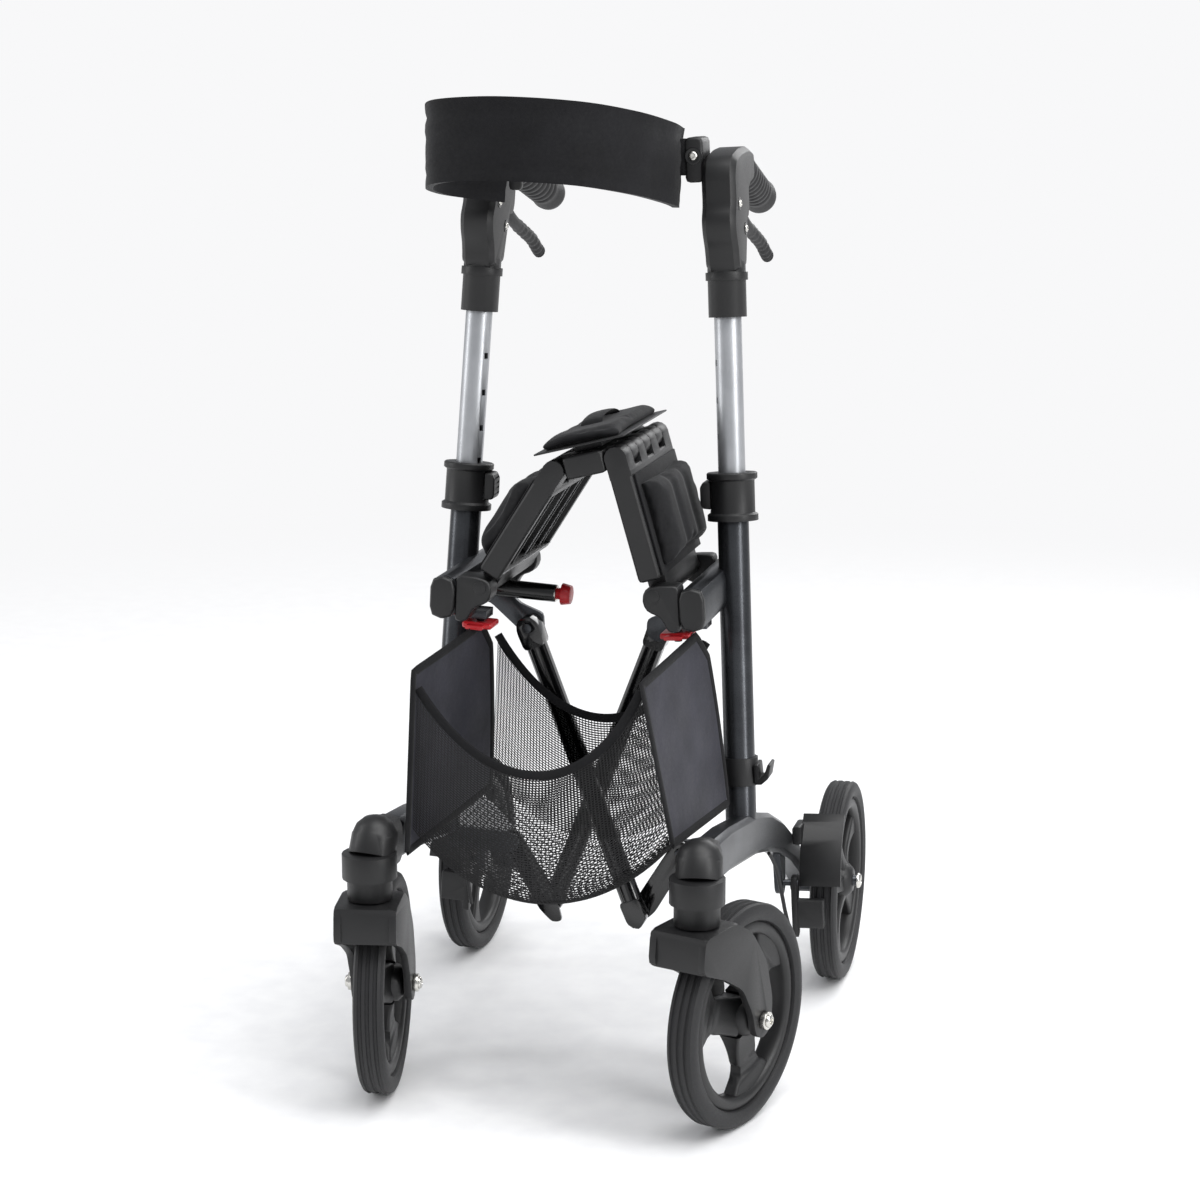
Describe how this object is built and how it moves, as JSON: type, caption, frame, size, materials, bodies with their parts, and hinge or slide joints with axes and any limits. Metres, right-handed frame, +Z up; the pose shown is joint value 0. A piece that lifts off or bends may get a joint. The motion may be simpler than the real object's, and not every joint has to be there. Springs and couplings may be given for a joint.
{
  "type": "folding walking frame",
  "caption": "Folding four-wheel walking frame with hand brakes, seat, backrest band and mesh basket, half folded.",
  "frame": {"origin": "middle of the base of the bounding box, on the floor", "axes": "+Z up, -Y the way the user walks, +X towards the side the camera sees"},
  "size_m": [0.4629, 0.6734, 0.9775],
  "materials": {
    "frame": "satin",
    "silver": "satin",
    "steel": "polished",
    "black": "fine texture",
    "rubber": "matte",
    "tyre": "matte",
    "fabric": "woven",
    "red": "satin"
  },
  "bodies": {
    "right_frame": {"right_side_frame": "frame", "right_rail_cap": "black", "right_hinge_block": "black", "right_clamp_collar": "black", "right_caster_elbow": "black", "right_brake_cover": "black", "right_brake_cable": "rubber", "tube_clip": "black", "right_basket_side": "fabric", "basket_mesh": "fabric"},
    "right_handle": {"right_upper_tube": "silver", "right_handle_head": "black", "right_handle_grip": "rubber", "right_backrest_bracket": "black", "backrest_band": "fabric"},
    "right_clamp_lever_body": {"right_clamp_lever": "black"},
    "right_brake_lever_body": {"right_brake_lever": "black"},
    "right_brake_arm_body": {"right_brake_arm": "steel"},
    "right_basket_clip_body": {"right_basket_clip": "red"},
    "right_brace_arm_body": {"right_brace_arm": "black"},
    "right_link_plate_body": {"right_link_plate": "black"},
    "right_caster_body": {"right_caster_fork": "black", "right_front_axle": "steel"},
    "right_front_wheel_body": {"right_front_wheel": "black", "right_front_tyre": "tyre"},
    "right_rear_wheel_body": {"right_rear_wheel": "black", "right_rear_tyre": "tyre"},
    "left_frame": {"left_side_frame": "frame", "left_rail_cap": "black", "left_hinge_block": "black", "left_clamp_collar": "black", "left_caster_elbow": "black", "left_brake_cover": "black", "left_brake_cable": "rubber", "plunger_socket": "black"},
    "left_handle": {"left_upper_tube": "silver", "left_handle_head": "black", "left_handle_grip": "rubber", "left_backrest_bracket": "black"},
    "left_clamp_lever_body": {"left_clamp_lever": "black"},
    "left_brake_lever_body": {"left_brake_lever": "black"},
    "left_brake_arm_body": {"left_brake_arm": "steel"},
    "left_basket_clip_body": {"left_basket_clip": "red"},
    "left_brace_arm_body": {"left_brace_arm": "black"},
    "left_link_plate_body": {"left_link_plate": "black"},
    "left_caster_body": {"left_caster_fork": "black", "left_front_axle": "steel"},
    "left_front_wheel_body": {"left_front_wheel": "black", "left_front_tyre": "tyre"},
    "left_rear_wheel_body": {"left_rear_wheel": "black", "left_rear_tyre": "tyre"},
    "right_seat": {"right_seat_panel": "black", "right_seat_cushion": "fabric"},
    "left_seat": {"left_seat_panel": "black", "left_seat_cushion": "fabric"},
    "seat_middle": {"seat_centre": "black", "centre_pad": "fabric"},
    "plunger": {"plunger_knob": "red"},
    "basket_tie": {"left_basket_side": "fabric"},
    "band_tie": {"band_end_tab": "black"}
  },
  "joints": [
    {"name": "seat_fold", "type": "hinge", "parent": "right_frame", "child": "right_seat", "pos_m": [0.08689, -0.0823, 0.50377], "axis": [0, -1, 0], "range_deg": [-1, 73.8]},
    {"name": "seat_centre_turn", "type": "hinge", "parent": "right_seat", "child": "seat_middle", "pos_m": [0.04833, -0.0823, 0.63648], "axis": [0, 1, 0], "range_deg": [-1.21, 88.02]},
    {"name": "seat_left_turn", "type": "hinge", "parent": "seat_middle", "child": "left_seat", "pos_m": [-0.01371, -0.0823, 0.62078], "axis": [0, 1, 0], "range_deg": [-0.61, 43.62]},
    {"name": "left_frame_turn", "type": "hinge", "parent": "left_seat", "child": "left_frame", "pos_m": [-0.08741, -0.0823, 0.50377], "axis": [0, -1, 0], "range_deg": [-0.8, 57.82]},
    {"name": "right_handle_height", "type": "slide", "parent": "right_frame", "child": "right_handle", "axis": [-0.0541, 0.0833, 0.9951], "range_m": [-0.108, 0.036]},
    {"name": "right_clamp_release", "type": "hinge", "parent": "right_frame", "child": "right_clamp_lever_body", "pos_m": [0.11728, -0.03339, 0.57102], "axis": [0, -1, 0], "range_deg": [0, 10], "stiffness_Nm_per_rad": 0.3},
    {"name": "right_brake_squeeze", "type": "hinge", "parent": "right_handle", "child": "right_brake_lever_body", "pos_m": [0.12225, 0.0357, 0.86672], "axis": [0.9985, 0, 0.0543], "range_deg": [0, 8], "stiffness_Nm_per_rad": 2, "springref_deg": -2.86},
    {"name": "right_brake_shoe", "type": "hinge", "parent": "right_frame", "child": "right_brake_arm_body", "pos_m": [0.18171, 0.1057, 0.14088], "axis": [0.9985, 0, 0.0543], "range_deg": [0, 3.22]},
    {"name": "right_clip_turn", "type": "hinge", "parent": "right_frame", "child": "right_basket_clip_body", "pos_m": [0.10089, -0.1143, 0.45796], "axis": [-0.0543, 0, 0.9985], "range_deg": [0, 90]},
    {"name": "right_brace_turn", "type": "hinge", "parent": "right_frame", "child": "right_brace_arm_body", "pos_m": [0.06504, -0.0323, 0.445], "axis": [0, 1, 0], "range_deg": [-0.48, 33.62]},
    {"name": "right_link_turn", "type": "hinge", "parent": "right_frame", "child": "right_link_plate_body", "pos_m": [0.08867, -0.0463, 0.21294], "axis": [0, 1, 0], "range_deg": [-1.34, 97.42]},
    {"name": "right_caster_swivel", "type": "hinge", "parent": "right_frame", "child": "right_caster_body", "pos_m": [0.16034, -0.2921, 0.24], "axis": [0, 0, 1], "continuous": true},
    {"name": "right_front_roll", "type": "hinge", "parent": "right_caster_body", "child": "right_front_wheel_body", "pos_m": [0.18446, -0.22003, 0.11], "axis": [0.9483, -0.3173, 0], "continuous": true},
    {"name": "right_rear_roll", "type": "hinge", "parent": "right_frame", "child": "right_rear_wheel_body", "pos_m": [0.20984, 0.2267, 0.11], "axis": [1, 0, 0], "continuous": true},
    {"name": "left_handle_height", "type": "slide", "parent": "left_frame", "child": "left_handle", "axis": [0.0541, 0.0833, 0.9951], "range_m": [-0.108, 0.036]},
    {"name": "left_clamp_release", "type": "hinge", "parent": "left_frame", "child": "left_clamp_lever_body", "pos_m": [-0.1178, -0.03339, 0.57102], "axis": [0, 1, 0], "range_deg": [0, 10], "stiffness_Nm_per_rad": 0.3},
    {"name": "left_brake_squeeze", "type": "hinge", "parent": "left_handle", "child": "left_brake_lever_body", "pos_m": [-0.12277, 0.0357, 0.86672], "axis": [0.9985, 0, -0.0543], "range_deg": [0, 8], "stiffness_Nm_per_rad": 2, "springref_deg": -2.86},
    {"name": "left_brake_shoe", "type": "hinge", "parent": "left_frame", "child": "left_brake_arm_body", "pos_m": [-0.18224, 0.1057, 0.14088], "axis": [0.9985, 0, -0.0543], "range_deg": [0, 3.22]},
    {"name": "left_clip_turn", "type": "hinge", "parent": "left_frame", "child": "left_basket_clip_body", "pos_m": [-0.10141, -0.1143, 0.45796], "axis": [0.0543, 0, 0.9985], "range_deg": [-90, 0]},
    {"name": "left_brace_turn", "type": "hinge", "parent": "left_frame", "child": "left_brace_arm_body", "pos_m": [-0.06556, -0.0603, 0.445], "axis": [0, -1, 0], "range_deg": [-0.48, 33.62]},
    {"name": "left_link_turn", "type": "hinge", "parent": "left_frame", "child": "left_link_plate_body", "pos_m": [-0.08919, -0.0463, 0.21294], "axis": [0, -1, 0], "range_deg": [-1.34, 97.42]},
    {"name": "left_caster_swivel", "type": "hinge", "parent": "left_frame", "child": "left_caster_body", "pos_m": [-0.16086, -0.2921, 0.24], "axis": [0, 0, 1], "continuous": true},
    {"name": "left_front_roll", "type": "hinge", "parent": "left_caster_body", "child": "left_front_wheel_body", "pos_m": [-0.17432, -0.2173, 0.11], "axis": [0.9842, 0.1771, 0], "continuous": true},
    {"name": "left_rear_roll", "type": "hinge", "parent": "left_frame", "child": "left_rear_wheel_body", "pos_m": [-0.21036, 0.2267, 0.11], "axis": [1, 0, 0], "continuous": true},
    {"name": "plunger_pull", "type": "slide", "parent": "left_frame", "child": "plunger", "axis": [0.9985, 0, -0.0543], "range_m": [0, 0.008], "stiffness_N_per_m": 400},
    {"name": "basket_stretch", "type": "slide", "parent": "right_frame", "child": "basket_tie", "axis": [-1, 0, 0], "range_m": [-0.00227, 0.16617]},
    {"name": "band_stretch", "type": "slide", "parent": "right_handle", "child": "band_tie", "axis": [-1, 0, 0], "range_m": [-0.00227, 0.16617]}
  ],
  "couplings": [
    {"joint": "seat_centre_turn", "follows": "seat_fold", "ratio": 1.1924},
    {"joint": "seat_left_turn", "follows": "seat_fold", "ratio": 0.59079},
    {"joint": "left_frame_turn", "follows": "seat_fold", "ratio": 0.7832},
    {"joint": "right_brake_shoe", "follows": "right_brake_squeeze", "ratio": 0.4},
    {"joint": "right_brace_turn", "follows": "seat_fold", "ratio": 0.45528},
    {"joint": "right_link_turn", "follows": "seat_fold", "ratio": 1.3198},
    {"joint": "left_brake_shoe", "follows": "left_brake_squeeze", "ratio": 0.4},
    {"joint": "left_brace_turn", "follows": "seat_fold", "ratio": 0.45528},
    {"joint": "left_link_turn", "follows": "seat_fold", "ratio": 1.3198},
    {"joint": "left_handle_height", "follows": "right_handle_height", "ratio": 1},
    {"joint": "basket_stretch", "follows": "seat_fold", "m_per_rad": 0.129},
    {"joint": "band_stretch", "follows": "seat_fold", "m_per_rad": 0.129}
  ]
}
